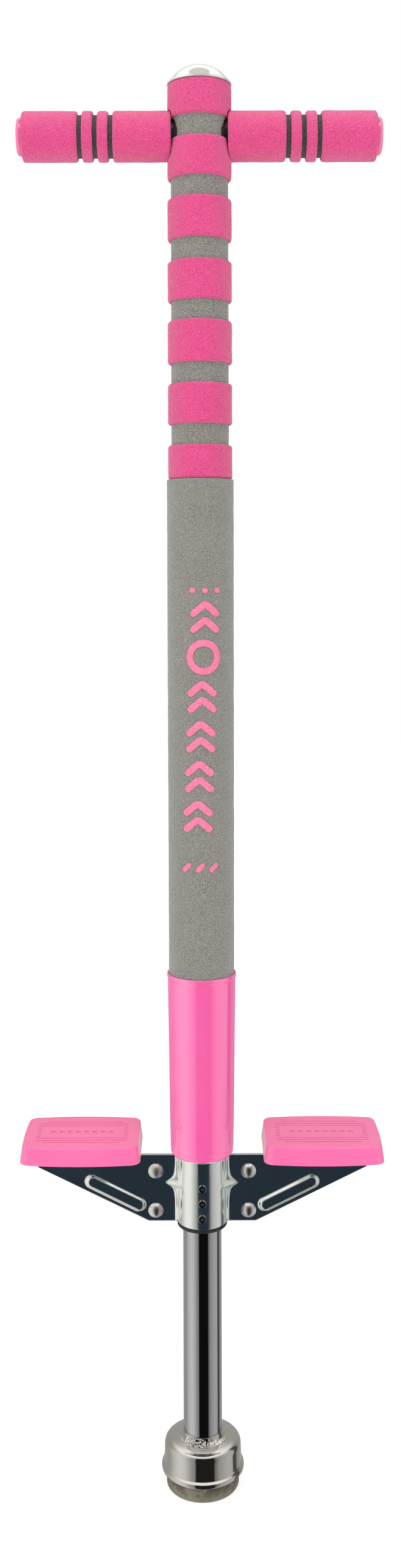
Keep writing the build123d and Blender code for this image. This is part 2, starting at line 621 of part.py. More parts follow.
# Plug that the spring pushes against, and the pin that holds it in the upright
with BuildPart() as spring_stop_plug:
    with BuildSketch(Plane.XZ):
        with BuildLine():
            spigot_end = spring_top - SPRING_SPIGOT
            plug_top = spring_top + STOP_HEIGHT
            Polyline((0, spigot_end), (SPRING_SPIGOT_R - SPIGOT_LEAD, spigot_end),
                     (SPRING_SPIGOT_R, spring_top), (TUBE_BORE_R, spring_top), (TUBE_BORE_R, plug_top),
                     (0, plug_top), close=True)
        make_face()
    revolve(axis=Axis.Z)
    with Locations((0, 0, stop_pin_z)):
        Cylinder(STOP_PIN_R, 3 * TUBE_R, rotation=(0, 90, 0), mode=Mode.SUBTRACT)
spring_stop_plug.part.label = "spring_stop_plug"
export_step(spring_stop_plug.part, "parts/spring_stop_plug.step")

with BuildPart() as spring_stop_pin:
    with Locations((0, 0, stop_pin_z)):
        Cylinder(STOP_PIN_R, 2 * (TUBE_R - GAP), rotation=(0, 90, 0))
spring_stop_pin.part.label = "spring_stop_pin"
export_step(spring_stop_pin.part, "parts/spring_stop_pin.step")
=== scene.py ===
from math import atan2, cos, degrees, exp, pi, radians, sin, sqrt, tan

import bmesh
import bpy
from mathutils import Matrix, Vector, noise


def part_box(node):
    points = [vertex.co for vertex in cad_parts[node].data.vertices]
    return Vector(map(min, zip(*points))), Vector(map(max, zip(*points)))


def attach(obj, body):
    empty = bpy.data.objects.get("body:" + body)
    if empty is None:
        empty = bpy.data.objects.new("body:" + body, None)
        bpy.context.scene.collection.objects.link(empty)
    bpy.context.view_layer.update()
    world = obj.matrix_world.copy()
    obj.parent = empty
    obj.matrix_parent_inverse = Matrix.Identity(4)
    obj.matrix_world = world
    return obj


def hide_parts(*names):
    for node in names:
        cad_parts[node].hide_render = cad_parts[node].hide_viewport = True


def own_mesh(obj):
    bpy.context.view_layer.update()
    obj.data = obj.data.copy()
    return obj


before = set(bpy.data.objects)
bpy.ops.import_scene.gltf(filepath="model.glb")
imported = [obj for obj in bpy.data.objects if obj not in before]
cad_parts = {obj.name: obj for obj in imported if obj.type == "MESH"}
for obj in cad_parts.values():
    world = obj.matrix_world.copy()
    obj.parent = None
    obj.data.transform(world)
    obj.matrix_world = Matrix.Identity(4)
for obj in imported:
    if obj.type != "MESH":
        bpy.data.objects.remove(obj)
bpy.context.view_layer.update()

# Spring pogo stick: foam, plastic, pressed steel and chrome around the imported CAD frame.
# Metres. Z is up, X runs along the crossbar, -Y is the front.

MM = 0.001
SIDES = (("left", -1), ("right", 1))


def low(node):
    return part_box(node)[0]


def high(node):
    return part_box(node)[1]


# Sizes read from the frame
bar_z = (low("handlebar_tube")[2] + high("handlebar_tube")[2]) / 2
bar_r = (high("handlebar_tube")[2] - low("handlebar_tube")[2]) / 2
tube_r = high("outer_tube")[0]
tube_top = high("outer_tube")[2]
stem_core_r = high("stem_foam_core")[0]
stem_band_r = high("stem_foam_bands")[0]
stem_bottom = low("stem_foam_core")[2]
grip_start = low("right_grip_core")[0]
grip_end = high("right_grip_core")[0]
grip_core_r = high("right_grip_core")[1]
grip_band_r = high("right_grip_bands")[1]
guard_bottom = low("lower_guard_sleeve")[2]
guard_top = high("lower_guard_sleeve")[2]
guard_r = high("lower_guard_sleeve")[0]
sleeve_r = high("main_foam_sleeve")[0]
sleeve_bottom = low("main_foam_sleeve")[2]
barrel_bottom = low("bracket_front")[2]
shelf_top = high("bracket_front")[2]
wing_end = high("bracket_front")[0]
shelf_depth = -low("bracket_front")[1]
plug_crown = high("right_end_cap")[0]
plug_rim_r = high("right_end_cap")[1]
cup_top = high("foot_cup")[2]
cup_lip_r = high("foot_cup")[0]
cup_bottom = low("foot_cup")[2]
foam_bore_r = tube_r + 0.05 * MM
waist_r = sleeve_r - 0.55 * MM


# ---------------------------------------------------------------- mesh helpers
def smooth_step(value):
    value = min(max(value, 0.0), 1.0)
    return value * value * (3 - 2 * value)


def blend_max(first, second, width):
    """The larger of two heights, rounded where they cross."""
    share = min(max(0.5 + 0.5 * (first - second) / width, 0.0), 1.0)
    return second + (first - second) * share + width * share * (1 - share)


def add_mesh(name, vertices, faces):
    mesh = bpy.data.meshes.new(name)
    mesh.from_pydata(vertices, [], faces)
    mesh.validate()
    piece = bpy.data.objects.new(name, mesh)
    bpy.context.scene.collection.objects.link(piece)
    return piece


def tidy(piece):
    """Weld doubled points, face every side outwards and shade it smooth."""
    bm = bmesh.new()
    bm.from_mesh(piece.data)
    bmesh.ops.remove_doubles(bm, verts=bm.verts, dist=1e-6)
    bmesh.ops.recalc_face_normals(bm, faces=bm.faces)
    bm.to_mesh(piece.data)
    bm.free()
    piece.data.shade_smooth()
    return piece


def rounded(corners, steps=5):
    """Points of a closed outline. Each corner is (x, y, radius)."""
    points = []
    for i, (x, y, radius) in enumerate(corners):
        here = Vector((x, y))
        if radius == 0:
            points.append(here)
            continue
        back = (Vector(corners[i - 1][:2]) - here).normalized()
        ahead = (Vector(corners[(i + 1) % len(corners)][:2]) - here).normalized()
        half = back.angle(ahead) / 2
        centre = here + (back + ahead).normalized() * radius / sin(half)
        start = here + back * radius / tan(half) - centre
        end = here + ahead * radius / tan(half) - centre
        sweep = atan2(start.x * end.y - start.y * end.x, start.dot(end))
        for step in range(steps + 1):
            turn = sweep * step / steps
            points.append(centre + Vector((start.x * cos(turn) - start.y * sin(turn),
                                           start.x * sin(turn) + start.y * cos(turn))))
    return points


def divided(outline, longest):
    """The same closed outline with no run longer than that."""
    points = []
    for i, start in enumerate(outline):
        end = outline[(i + 1) % len(outline)]
        count = max(1, int((end - start).length / longest + 0.5))
        points += [start.lerp(end, step / count) for step in range(count)]
    return points


def turned(name, outline, axis="Z", centre=(0, 0, 0), steps=128):
    """A closed outline of (radius, distance along the axis) points, turned about the axis."""
    vertices = []
    for step in range(steps):
        angle = 2 * pi * step / steps
        for radius, along in outline:
            across, up = radius * cos(angle), radius * sin(angle)
            point = Vector((across, up, along)) if axis == "Z" else Vector((along, across, up))
            vertices.append(point + Vector(centre))
    count = len(outline)
    faces = []
    for step in range(steps):
        after = (step + 1) % steps
        for i in range(count):
            j = (i + 1) % count
            faces.append((step * count + i, step * count + j, after * count + j, after * count + i))
    return tidy(add_mesh(name, vertices, faces))


def apply_modifiers(piece):
    """Replace the piece's mesh with what its modifiers make of it."""
    graph = bpy.context.evaluated_depsgraph_get()
    graph.update()
    mesh = bpy.data.meshes.new_from_object(piece.evaluated_get(graph))
    piece.modifiers.clear()
    piece.data = mesh
    piece.data.shade_smooth()


def cut(piece, cutter):
    """Take the cutter's shape out of the piece, and remove the cutter."""
    modifier = piece.modifiers.new("cut", "BOOLEAN")
    modifier.operation = "DIFFERENCE"
    modifier.solver = "EXACT"
    modifier.object = cutter
    apply_modifiers(piece)
    bpy.data.objects.remove(cutter)


def soften(piece, voxel, rounds):
    """Even out the mesh and round its edges, as cut foam rounds."""
    remesh = piece.modifiers.new("even", "REMESH")
    remesh.mode = "VOXEL"
    remesh.voxel_size = voxel
    smooth = piece.modifiers.new("round", "SMOOTH")
    smooth.factor = 0.5
    smooth.iterations = rounds
    apply_modifiers(piece)


def ripple(piece, coarse, fine):
    """Move the skin in and out a little: a slow unevenness and the cells of the foam."""
    slow_scale, cell_scale = 110, 620
    piece.data.update()
    normals = [v.normal.copy() for v in piece.data.vertices]
    for vertex, normal in zip(piece.data.vertices, normals):
        slow = noise.noise(vertex.co * slow_scale)
        cells = noise.noise(vertex.co * cell_scale)
        vertex.co += normal * (coarse * slow + fine * cells)
    piece.data.update()


def finish_piece(piece, material, body, slot, *nodes):
    """Give the piece its material, hang it on the body it rides on and hide the CAD nodes it stands for."""
    piece.data.materials.clear()
    piece.data.materials.append(material)
    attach(piece, body)
    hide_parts(*nodes)
    return piece


# ---------------------------------------------------------------- materials
class Shader:
    """A material being built: its nodes, its links and its surface shader."""

    def __init__(self, name, base, roughness, metallic=0.0):
        self.material = bpy.data.materials.new(name)
        self.material.use_nodes = True
        self.nodes = self.material.node_tree.nodes
        self.links = self.material.node_tree.links
        self.surface = self.nodes["Principled BSDF"]
        self.surface.inputs["Base Color"].default_value = (*base, 1)
        self.surface.inputs["Roughness"].default_value = roughness
        self.surface.inputs["Metallic"].default_value = metallic
        self.place = self.nodes.new("ShaderNodeTexCoord").outputs["Object"]
        self.normal = None

    def set(self, **values):
        for name, value in values.items():
            self.surface.inputs[name.replace("_", " ")].default_value = value

    def stretched(self, scale):
        mapping = self.nodes.new("ShaderNodeMapping")
        mapping.inputs["Scale"].default_value = scale
        self.links.new(self.place, mapping.inputs["Vector"])
        return mapping.outputs["Vector"]

    def noise(self, scale, detail=2.0, roughness=0.5, place=None):
        node = self.nodes.new("ShaderNodeTexNoise")
        node.inputs["Scale"].default_value = scale
        node.inputs["Detail"].default_value = detail
        node.inputs["Roughness"].default_value = roughness
        self.links.new(place or self.place, node.inputs["Vector"])
        return node.outputs["Fac"]

    def cells(self, scale, feature="F1"):
        node = self.nodes.new("ShaderNodeTexVoronoi")
        node.feature = feature
        node.inputs["Scale"].default_value = scale
        self.links.new(self.place, node.inputs["Vector"])
        return node.outputs["Distance"]

    def ramp(self, value, *stops):
        node = self.nodes.new("ShaderNodeValToRGB")
        elements = node.color_ramp.elements
        while len(elements) < len(stops):
            elements.new(0.5)
        for element, (position, colour) in zip(elements, stops):
            element.position = position
            element.color = (*colour, 1) if len(colour) == 3 else colour
        self.links.new(value, node.inputs["Fac"])
        return node.outputs["Color"]

    def grade(self, value, start, end, first=0.0, last=1.0):
        node = self.nodes.new("ShaderNodeMapRange")
        for name, number in zip(("From Min", "From Max", "To Min", "To Max"), (start, end, first, last)):
            node.inputs[name].default_value = number
        self.links.new(value, node.inputs["Value"])
        return node.outputs["Result"]

    def mix(self, factor, first, second, blend="MIX"):
        node = self.nodes.new("ShaderNodeMix")
        node.data_type = "RGBA"
        node.blend_type = blend
        for value, index in ((factor, 0), (first, 6), (second, 7)):
            if isinstance(value, bpy.types.NodeSocket):
                self.links.new(value, node.inputs[index])
            else:
                node.inputs[index].default_value = (*value, 1) if isinstance(value, tuple) else value
        return node.outputs[2]

    def height(self, value, distance, strength=1.0):
        """Add a bump layer over the ones already there."""
        node = self.nodes.new("ShaderNodeBump")
        node.inputs["Distance"].default_value = distance
        node.inputs["Strength"].default_value = strength
        self.links.new(value, node.inputs["Height"])
        if self.normal:
            self.links.new(self.normal, node.inputs["Normal"])
        self.normal = node.outputs["Normal"]

    def done(self, base=None, roughness=None):
        if base:
            self.links.new(base, self.surface.inputs["Base Color"])
        if roughness:
            self.links.new(roughness, self.surface.inputs["Roughness"])
        if self.normal:
            self.links.new(self.normal, self.surface.inputs["Normal"])
        return self.material


def foam(name, dark, middle, light, sheen=0.25):
    """Closed-cell foam: a matt skin of fine cells with darker pores between them."""
    shader = Shader(name, middle, 0.86)
    grain = shader.noise(1600, 1.5, 0.6)
    pores = shader.cells(1200)
    patches = shader.noise(60, 2.0)
    colour = shader.ramp(grain, (0.32, dark), (0.5, middle), (0.68, light))
    faded = shader.mix(shader.grade(patches, 0.3, 0.7, 0.0, 0.15), colour, light)
    shader.height(pores, 0.0005, 0.7)
    shader.height(grain, 0.0009, 1.0)
    shader.set(Specular_IOR_Level=0.3, Sheen_Weight=sheen, Sheen_Roughness=0.5)
    return shader.done(faded, shader.grade(grain, 0.3, 0.7, 0.95, 0.72))


def moulded(name, colour, deep, roughness=0.16, index=1.5, gloss=0.5, sheen=0.0):
    """Glossy injection-moulded plastic with a faint unevenness in its gloss."""
    shader = Shader(name, colour, roughness)
    flow = shader.noise(18, 2.0)
    grain = shader.noise(900, 2.0)
    tone = shader.mix(shader.grade(flow, 0.3, 0.7), deep, colour)
    shader.height(flow, 0.0004, 0.35)
    shader.height(grain, 0.00002, 0.3)
    shader.set(IOR=index, Specular_IOR_Level=gloss, Sheen_Weight=sheen, Sheen_Roughness=0.35)
    return shader.done(tone, shader.grade(flow, 0.3, 0.7, roughness * 0.8, roughness * 1.3))


def plated(name, colour, roughness, scratch=0.3, drawn=(1, 1, 1), painted_glow=(0, 0, 0)):
    """Bright plated steel: fine draw lines, hazy patches, a little warmth and a faint painted glow, an
    emission that makes the metal shine though it is no lamp.
    """
    shader = Shader(name, colour, roughness, metallic=1.0)
    lines = shader.noise(1.0, 4.0, 0.6, shader.stretched(drawn))
    haze = shader.noise(35, 3.0, 0.6)
    warm = tuple(channel * factor for channel, factor in zip(colour, (1.0, 0.985, 0.94)))
    tone = shader.mix(shader.grade(haze, 0.35, 0.7), colour, warm)
    shader.height(lines, 0.00002, scratch)
    # Painted glow: the metal gives off a faint light of its own, though it is no lamp.
    shader.set(Emission_Color=(*painted_glow, 1), Emission_Strength=1.0)
    return shader.done(tone, shader.grade(haze, 0.3, 0.75, roughness * 0.7, roughness * 1.5))


PINK_FOAM = foam("pink_foam", (0.57, 0.039, 0.165), (0.73, 0.062, 0.232), (0.90, 0.098, 0.31), 0.35)
GREY_FOAM = foam("grey_foam", (0.142, 0.134, 0.115), (0.230, 0.222, 0.196), (0.345, 0.334, 0.296), 0.5)
STEM_FOAM = foam("stem_foam", (0.105, 0.098, 0.085), (0.222, 0.212, 0.188), (0.38, 0.363, 0.33), 0.45)
DARK_FOAM = foam("dark_foam", (0.02, 0.018, 0.018), (0.06, 0.055, 0.055), (0.13, 0.12, 0.12))
PRINT = foam("pink_print", (0.82, 0.17, 0.30), (0.92, 0.225, 0.385), (0.98, 0.28, 0.45), sheen=0.1)
PAD_PLASTIC = moulded("pad_plastic", (0.94, 0.155, 0.385), (0.90, 0.14, 0.355), 0.2, 1.55, 0.8, 0.35)
GUARD_PLASTIC = moulded("guard_plastic", (0.95, 0.12, 0.40), (0.93, 0.11, 0.385), 0.13, 2.0, 1.0)
END_PLASTIC = moulded("end_plastic", (0.93, 0.19, 0.40), (0.88, 0.16, 0.36), 0.12, 1.7, 1.0)
CAP_PLASTIC = moulded("cap_plastic", (0.76, 0.76, 0.72), (0.72, 0.72, 0.68), 0.06, 2.8, 1.0)
BLACK_PAINT = moulded("black_paint", (0.022, 0.022, 0.025), (0.014, 0.014, 0.016), 0.24)
BLACK_PLASTIC = moulded("black_plastic", (0.02, 0.02, 0.022), (0.012, 0.012, 0.013), 0.34)
WHITE_NYLON = moulded("white_nylon", (0.78, 0.77, 0.72), (0.70, 0.69, 0.63), 0.4)
BLACK_RUBBER = moulded("black_rubber", (0.02, 0.02, 0.02), (0.03, 0.03, 0.03), 0.7)
CHROME = plated("chrome", (0.57, 0.57, 0.58), 0.03, 0.15, (400, 400, 60))
# The cup chrome carries a faint warm painted glow (emission).
CUP_CHROME = plated("cup_chrome", (0.66, 0.635, 0.60), 0.05, 0.25, (300, 300, 500),
                    (0.008, 0.007, 0.006))
BLIND_STEEL = plated("blind_steel", (0.24, 0.24, 0.235), 0.24, 0.3, (500, 500, 500))
# The zinc plate carries a faint bluish painted glow (emission).
ZINC = plated("zinc_plate", (0.96, 0.96, 0.91), 0.15, 0.5, (60, 400, 900), (0.010, 0.020, 0.031))
RIVET_STEEL = plated("rivet_steel", (0.94, 0.93, 0.90), 0.32, 0.15, (300, 300, 300))
WELD_CHROME = plated("weld_chrome", (0.68, 0.65, 0.61), 0.11, 0.6, (900, 900, 900))
SPRING_STEEL = plated("spring_steel", (0.34, 0.34, 0.36), 0.3, 0.4, (300, 300, 300))


def gum_rubber():
    """Tan gum rubber, scuffed dark in patches up towards the cup; the scuffs fade out in the lowest
    centimetre by the ground.
    """
    shader = Shader("gum_rubber", (0.31, 0.275, 0.175), 0.45)
    smudge = shader.noise(85, 5.0, 0.7)
    grain = shader.noise(260, 4.0)
    base = shader.mix(shader.grade(grain, 0.3, 0.7), (0.145, 0.128, 0.085), (0.235, 0.21, 0.142))
    dirt = shader.grade(smudge, 0.43, 0.53)
    split = shader.nodes.new("ShaderNodeSeparateXYZ")
    shader.links.new(shader.place, split.inputs["Vector"])
    near_cup = shader.grade(split.outputs["Z"], 1 * MM, 10 * MM)
    amount = shader.nodes.new("ShaderNodeMath")
    amount.operation = "MULTIPLY"
    shader.links.new(dirt, amount.inputs[0])
    shader.links.new(near_cup, amount.inputs[1])
    shader.height(grain, 0.0002, 0.5)
    shader.height(smudge, 0.0006, 0.4)
    return shader.done(shader.mix(amount.outputs[0], base, (0.035, 0.033, 0.03)))


GUM_RUBBER = gum_rubber()

for node, material in (
    ("outer_tube", BLACK_PAINT), ("handlebar_tube", BLACK_PAINT), ("handlebar_weld", BLACK_PAINT),
    ("top_cap", CAP_PLASTIC),
    ("bracket_rivets", RIVET_STEEL), ("bush_rivets", BLIND_STEEL), ("left_foot_pad", PAD_PLASTIC),
    ("right_foot_pad", PAD_PLASTIC), ("left_pad_screws", RIVET_STEEL), ("right_pad_screws", RIVET_STEEL),
    ("lower_bush", BLACK_PLASTIC), ("rebound_bumper", BLACK_RUBBER), ("spring_stop_plug", RIVET_STEEL),
    ("spring_stop_pin", RIVET_STEEL), ("spring_seat", WHITE_NYLON), ("plunger_shaft", CHROME),
    ("stop_collar", RIVET_STEEL), ("rubber_tip", GUM_RUBBER),
):
    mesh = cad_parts[node].data
    mesh.materials.clear()
    mesh.materials.append(material)
for node in ("left_foot_pad", "right_foot_pad"):
    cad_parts[node].visible_glossy = False


# ---------------------------------------------------------------- foam
FOAM_STEP = 0.75 * MM
BAR_AIR = 0.4 * MM
GRIP_AIR = 0.3 * MM
BAND_EDGE = 1.7 * MM
BAND_TUCK = 0.6 * MM
RING_EDGE = 1.9 * MM
NARROW_RING_EDGE = 1.5 * MM
RING_TUCK = 0.5 * MM
SLEEVE_PINCH = 0.9 * MM
PINCH_LENGTH = 18 * MM
# Bottom and top of each pink band on the upright, in millimetres, from the crown down
STEM_BANDS = ((900.6, 924.0), (860.7, 887.0), (820.5, 847.8), (780.1, 806.6), (739.2, 767.2),
              (699.2, 726.0), (663.2, 685.5))
# Start and end of each pink ring along a grip, in millimetres outwards from the upright
GRIP_RINGS = ((18.7, 56.9), (60.1, 67.0), (70.2, 77.2), (80.3, 116.9))


def foam_piece(piece, material, slot, node, coarse=0.16 * MM, fine=0.07 * MM):
    ripple(piece, coarse, fine)
    finish_piece(piece, material, "frame", slot, node)


def bar_cutter(radius, start, end):
    """A rod along the crossbar's line, to cut foam away with."""
    outline = [Vector(p) for p in ((1e-5, start), (radius, start), (radius, end), (1e-5, end))]
    return turned("cutter", divided(outline, 4 * MM), "X", (0, 0, bar_z), 96)


def open_for_crossbar(piece):
    """The crossbar passes through, and the grips' inner ends press a hollow on each side."""
    reach = 3 * stem_band_r
    cut(piece, bar_cutter(bar_r + BAR_AIR, -reach, reach))
    for side in (-1, 1):
        near, far = side * (grip_start - GRIP_AIR), side * reach
        cut(piece, bar_cutter(grip_band_r + GRIP_AIR, min(near, far), max(near, far)))
    return piece


def build_stem_core():
    edge = 0.4 * MM
    outline = divided(rounded([(foam_bore_r, stem_bottom, 0), (stem_core_r, stem_bottom, edge),
                               (stem_core_r, tube_top, edge), (foam_bore_r, tube_top, 0)]), 4 * MM)
    core = turned("stem_core_foam", outline, steps=96)
    soften(open_for_crossbar(core), 0.8 * MM, 4)
    foam_piece(core, STEM_FOAM, "grey_foam", "stem_foam_core")


def build_stem_bands():
    """The bands that the crossbar passes through are cut and softened, the rest plain turned."""
    for number, (bottom, top) in enumerate(STEM_BANDS, 1):
        outline = rounded([(stem_core_r - BAND_TUCK, bottom * MM, 0), (stem_band_r, bottom * MM, BAND_EDGE),
                           (stem_band_r, top * MM, BAND_EDGE), (stem_core_r - BAND_TUCK, top * MM, 0)], 6)
        name = f"stem_band_{number}"
        if bottom * MM < bar_z + grip_band_r and top * MM > bar_z - grip_band_r:
            band = turned(name, divided(outline, 2 * MM), steps=128)
            soften(open_for_crossbar(band), 0.6 * MM, 5)
        else:
            band = turned(name, divided(outline, FOAM_STEP), steps=180)
        foam_piece(band, PINK_FOAM, "pink_foam", "stem_foam_bands")


def build_main_foam():
    """Large sleeve, pinched where it goes down into the guard."""
    pinched_r = waist_r - SLEEVE_PINCH
    outline = divided(rounded([
        (foam_bore_r, sleeve_bottom, 0), (pinched_r, sleeve_bottom, 0),
        (pinched_r, guard_top - PINCH_LENGTH, 6 * MM), (waist_r, guard_top, 0),
        (sleeve_r, stem_bottom, 0.9 * MM), (foam_bore_r, stem_bottom, 0)]), 0.9 * MM)
    foam = turned("main_foam", outline, steps=160)
    foam_piece(foam, GREY_FOAM, "grey_foam", "main_foam_sleeve", 0.12 * MM, 0.06 * MM)


def along_bar(name, corners, side, longest, steps, rounding=5):
    """A closed (radius, distance outwards) outline, turned about the crossbar on one side."""
    outline = [Vector((r, side * along)) for r, along in divided(rounded(corners, rounding), longest)]
    return turned(name, outline, "X", (0, 0, bar_z), steps)


def build_grip(name, side):
    """A dark foam tube with four pink rings on it, two wide and two narrow."""
    core_edge = 0.5 * MM
    core = along_bar(f"{name}_grip_core_foam", [
        (bar_r, grip_start, 0), (grip_core_r, grip_start, core_edge),
        (grip_core_r, grip_end, core_edge), (bar_r, grip_end, 0)], side, FOAM_STEP, 120)
    foam_piece(core, DARK_FOAM, "dark_foam", f"{name}_grip_core")
    tuck_r = grip_core_r - RING_TUCK
    for number, (start, end) in enumerate(GRIP_RINGS, 1):
        edge = RING_EDGE if end - start > 10 else NARROW_RING_EDGE
        ring = along_bar(f"{name}_grip_ring_{number}", [
            (tuck_r, start * MM, 0), (grip_band_r, start * MM, edge),
            (grip_band_r, end * MM, edge), (tuck_r, end * MM, 0)], side, FOAM_STEP, 144, 6)
        foam_piece(ring, PINK_FOAM, "pink_foam", f"{name}_grip_bands")


def build_end_plug(name, side):
    """Plug in the crossbar's end: a rounded rim and a shallow dome."""
    barrel_r, depth, heart_r = 9.8 * MM, 8 * MM, 0.02 * MM
    plug = along_bar(f"{name}_end_plug", [
        (heart_r, grip_end - depth, 0), (barrel_r, grip_end - depth, 0), (barrel_r, grip_end, 0),
        (plug_rim_r, grip_end, 0.2 * MM), (plug_rim_r, plug_crown - 0.9 * MM, 2.1 * MM),
        (heart_r, plug_crown, 0)], side, 1 * MM, 120, 8)
    finish_piece(plug, END_PLASTIC, "frame", "pink_plastic", f"{name}_end_cap")


build_stem_core()
build_stem_bands()
build_main_foam()
for name, side in SIDES:
    build_grip(name, side)
for name, side in SIDES:
    build_end_plug(name, side)


# ---------------------------------------------------------------- generic motif on the foam
PRINT_LIFT = 0.22 * MM
PRINT_THICKNESS = 0.35 * MM


def printed_band(name, path, width, centre_x, centre_z, closed=False):
    """A round-ended stroke along a flat path, wrapped on the front of the big foam sleeve."""
    across = 6
    rows = []
    count = len(path)
    for i, (x, y) in enumerate(path):
        behind = Vector(path[i - 1]) if i or closed else Vector(path[i])
        ahead = Vector(path[(i + 1) % count]) if i + 1 < count or closed else Vector(path[i])
        along = (ahead - behind).normalized()
        to_end = min(i, count - 1 - i) * (Vector(path[1]) - Vector(path[0])).length
        half = width / 2
        if not closed and to_end < half:
            half = sqrt(max(half ** 2 - (half - to_end) ** 2, (0.12 * half) ** 2))
        rows.append([Vector((x, y)) + Vector((-along.y, along.x)) * half * (2 * k / across - 1)
                     for k in range(across + 1)])
    vertices, faces = [], []
    for row in rows:
        for spot in row:
            z = centre_z + spot.y
            share = (z - guard_top) / (stem_bottom - guard_top)
            radius = waist_r + share * (sleeve_r - waist_r) + PRINT_LIFT
            angle = (centre_x + spot.x) / radius
            vertices.append((radius * sin(angle), -radius * cos(angle), z))
    for i in range(count if closed else count - 1):
        for k in range(across):
            start, after = i * (across + 1) + k, ((i + 1) % count) * (across + 1) + k
            faces.append((start, start + 1, after + 1, after))
    piece = add_mesh(name, vertices, faces)
    skin = piece.modifiers.new("skin", "SOLIDIFY")
    skin.thickness = PRINT_THICKNESS
    skin.offset = 0
    apply_modifiers(piece)
    tidy(piece)
    finish_piece(piece, PRINT, "frame", "pink_foam", "main_foam_sleeve")


def bent_path(*corners):
    """Points every half millimetre along straight runs with softened corners."""
    softened = 0.16
    points = [Vector(corners[0])]
    for before, here, after in zip(corners, corners[1:], corners[2:]):
        here = Vector(here)
        start = here.lerp(Vector(before), softened)
        end = here.lerp(Vector(after), softened)
        points += [start.lerp(here, t).lerp(here.lerp(end, t), t) for t in (0, 0.25, 0.5, 0.75, 1)]
    points.append(Vector(corners[-1]))
    path = []
    for start, end in zip(points, points[1:]):
        count = max(1, round((end - start).length / (0.5 * MM)))
        path += [start.lerp(end, step / count) for step in range(count)]
    return path + [points[-1]]


def print_signs():
    """Six signs down the foam: a ring in the second place, a pair of chevrons in the others."""
    stroke, reach, lift, rise, drop = 4.6 * MM, 9.2 * MM, 5.2 * MM, 3.6 * MM, 4.2 * MM
    top, bottom, count = 572.9 * MM, 443.7 * MM, 6
    first_x, drift = 2.9, 5.0
    for number in range(count):
        share = number / (count - 1)
        centre_x = (first_x - drift * share) * MM
        centre_z = top + (bottom - top) * share
        if number == 1:
            ring = [(reach * cos(radians(a)), reach * sin(radians(a))) for a in range(0, 360, 4)]
            printed_band("motif_ring", ring, stroke, centre_x, centre_z, closed=True)
            continue
        for half, shift in enumerate((lift, -lift), 1):
            path = bent_path((-reach, shift - drop), (0, shift + rise), (reach, shift - drop))
            printed_band(f"motif_chevron_{number + 1}_{half}", path, stroke, centre_x, centre_z)


def print_mark(name, half_x, half_z, width, centre_x, centre_z):
    """A short stroke that reaches half_x and half_z either way from its centre. In mm."""
    path = bent_path((-half_x * MM, -half_z * MM), (half_x * MM, half_z * MM))
    printed_band(name, path, width * MM, centre_x * MM, centre_z * MM)


def print_motif():
    """A plain pattern down the front of the foam: dots, chevrons with a ring, and dashes."""
    print_signs()
    for number in (-1, 0, 1):
        print_mark(f"motif_dot_{number + 2}", half_x=2.0, half_z=0, width=3.6,
                   centre_x=2.9 + 8.4 * number, centre_z=590.3)
        print_mark(f"motif_dash_{number + 2}", half_x=2.6, half_z=2.6, width=3.2,
                   centre_x=-0.6 + 9.0 * number, centre_z=410.6)


print_motif()


# ---------------------------------------------------------------- guard, cup, weld and spring
def lathe_piece(name, corners, longest, material, slot, body, node, steps=160):
    """Turn a closed outline about the upright. Corners are (radius, height, rounding) in mm."""
    outline = divided(rounded([(r * MM, z * MM, edge * MM) for r, z, edge in corners], 6), longest)
    return finish_piece(turned(name, outline, steps=steps), material, body, slot, node)


def build_guard():
    """Tapered guard: a rolled upper lip, a mould line and a rounded foot."""
    base, top = guard_bottom / MM - 0.8, guard_top / MM
    wide, foot, pinch, bore = guard_r / MM, 20.4, waist_r / MM - 0.75, 15.1
    rolled_foot = [(bore, base, 0), (foot, base, 2.6)]
    mould_line = [(foot + 0.2, base + 5.0, 0.25), (foot + 0.32, base + 5.25, 0.2)]
    flank = [(foot + 0.75, base + 27, 20), (wide - 1.15, base + 63, 25), (wide - 0.55, base + 104, 10)]
    lip = [(wide - 0.45, top - 3.2, 0.8), (wide, top - 2.4, 0.7), (wide, top, 0.6),
           (waist_r / MM + 0.1, top, 0.5)]
    inside = [(pinch, top - 17, 4), (pinch, top - 36.5, 0.5), (foot - 1.2, base + 6, 1),
              (foot - 2.4, base + 2, 1), (bore, base + 2, 0)]
    guard = lathe_piece("guard_shell", rolled_foot + mould_line + flank + lip + inside, 1.5 * MM,
                        GUARD_PLASTIC, "pink_plastic", "frame", "lower_guard_sleeve")
    guard.visible_glossy = False


def build_cup():
    """Pressed cup with a soft shoulder and a rolled lip, open below."""
    roll, wall, heart = 1.6, 1.5, 0.01
    wide, top, base = cup_lip_r / MM - roll, cup_top / MM, cup_bottom / MM
    crown = [(heart, top, 0), (12.9, top, 0), (17.0, top - 0.05, 2), (20.0, top - 0.5, 4),
             (wide - 0.5, top - 1.6, 4.6)]
    lip = [(wide, base + 4.6, 1.0), (wide + roll, base + 3.2, 0.9), (wide + roll, base + 0.8, 1.1),
           (wide + 0.3, base, 0.6), (wide - wall, base, 0.3)]
    inside = [(wide - wall, top - 3.6, 3.2), (heart, top - wall, 0)]
    lathe_piece("cup_shell", crown + lip + inside, 0.8 * MM, CUP_CHROME, "chrome_plate", "plunger",
                "foot_cup")


